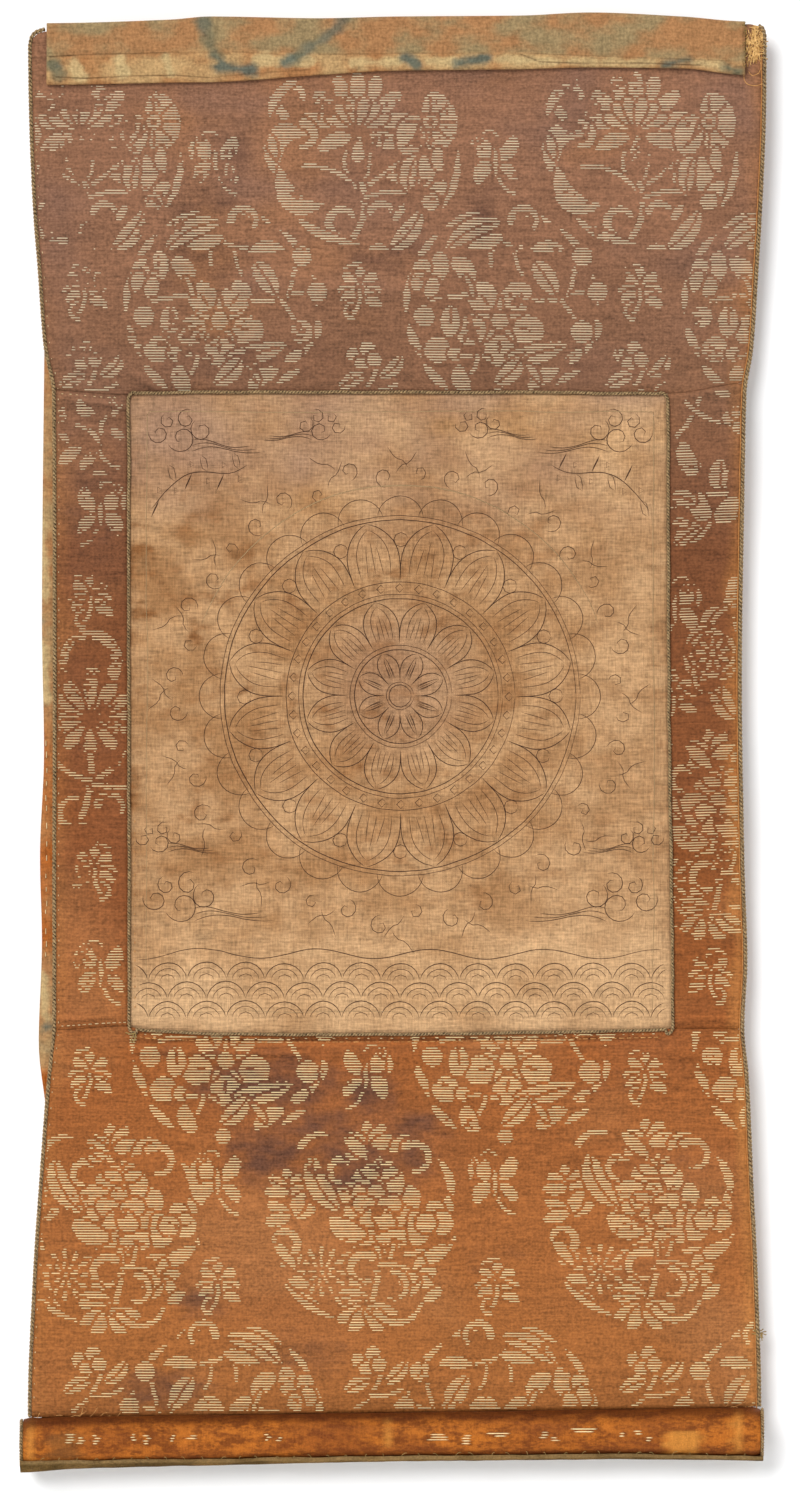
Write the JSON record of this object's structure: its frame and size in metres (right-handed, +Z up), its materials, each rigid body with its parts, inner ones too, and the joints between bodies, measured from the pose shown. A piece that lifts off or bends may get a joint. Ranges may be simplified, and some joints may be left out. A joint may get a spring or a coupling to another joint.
{
  "type": "thangka scroll painting",
  "caption": "Hanging scroll: a drawing on linen in flowered silk borders, with a turned-over printed heading, corded edges and a rod rolled into its foot.",
  "frame": {"origin": "middle of the heading's top edge, from which the scroll hangs", "axes": "+Z up, -Y the painted front, +X to the right of someone facing the front"},
  "size_m": [0.3363, 0.025, 0.657],
  "materials": {
    "printed_cotton": "plain woven cotton, printed in tan and orange with blue-green patches",
    "silk_brocade": "satin silk from mauve-brown to orange-brown with flat gold weft flowers, worn and stained",
    "painted_linen": "sized linen toned tan, with a fine brown line drawing",
    "twisted_cord": "two-strand olive-brown cord",
    "worn_silk_casing": "worn orange-brown silk with scraps of gold",
    "olive_cloth": "plain olive cloth"
  },
  "bodies": {
    "root": {"lining": "printed_cotton", "brocade_top": "silk_brocade", "brocade_left": "silk_brocade", "brocade_right": "silk_brocade", "brocade_bottom": "silk_brocade", "painted_panel": "painted_linen", "window_cord": "twisted_cord", "edge_cord_left": "twisted_cord", "edge_cord_right": "twisted_cord", "end_cord_left": "twisted_cord", "end_cord_right": "twisted_cord", "rod_roll": "worn_silk_casing", "under_strip": "olive_cloth"}
  },
  "joints": []
}
